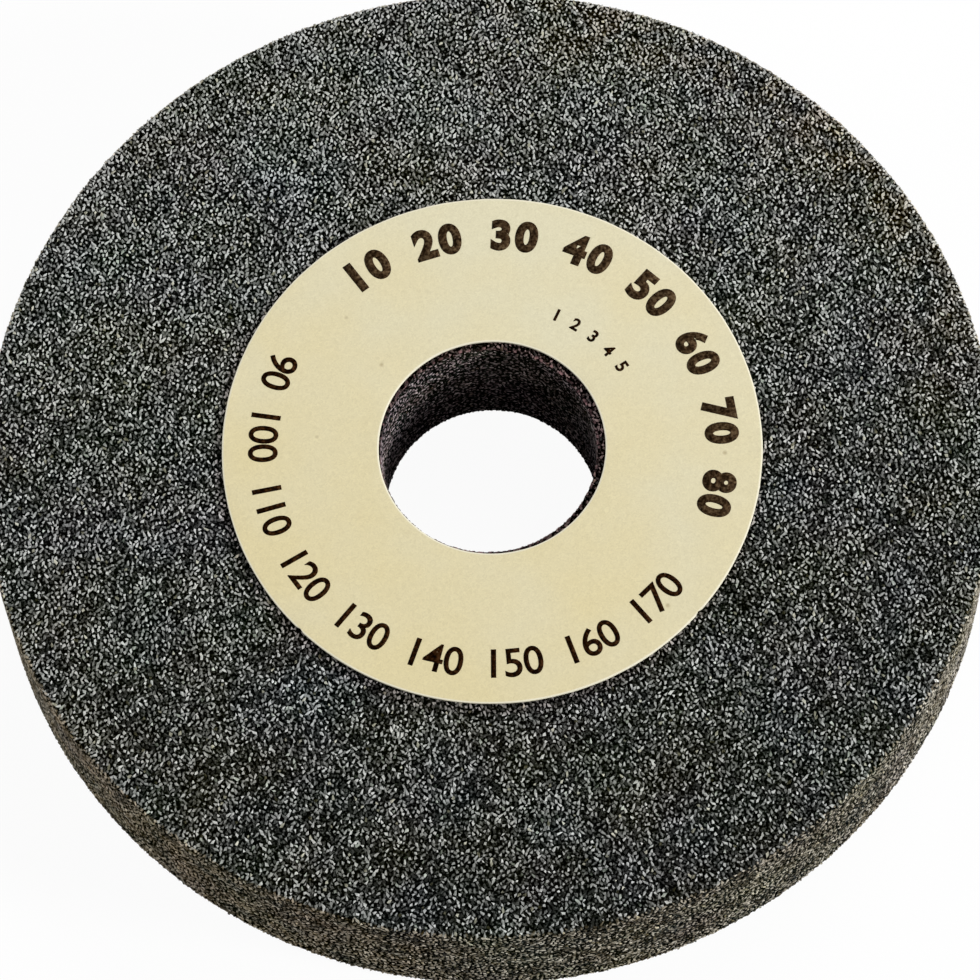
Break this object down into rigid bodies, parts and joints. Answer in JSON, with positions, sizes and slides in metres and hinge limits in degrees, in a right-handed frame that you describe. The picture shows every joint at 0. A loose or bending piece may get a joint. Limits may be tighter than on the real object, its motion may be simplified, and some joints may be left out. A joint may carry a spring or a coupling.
{
  "type": "grinding wheel",
  "caption": "Straight bonded abrasive grinding wheel with a plain spindle bore, broken outer edges and a round paper label on one face.",
  "frame": {"origin": "centre of the back face, where the wheel's axis meets the surface it lies on", "axes": "+Z along the spindle axis, from the bare back face to the labelled front face; the print's upper side is towards +Y"},
  "size_m": [0.15, 0.15, 0.0254],
  "materials": {
    "vitrified_grain": "coarse open dark grey abrasive grain in a fired bond, matt with small bright crystal facets",
    "label_paper": "matt cream blotting card with dark brown print"
  },
  "bodies": {
    "root": {"abrasive_wheel": "vitrified_grain", "paper_label": "label_paper"}
  },
  "joints": []
}
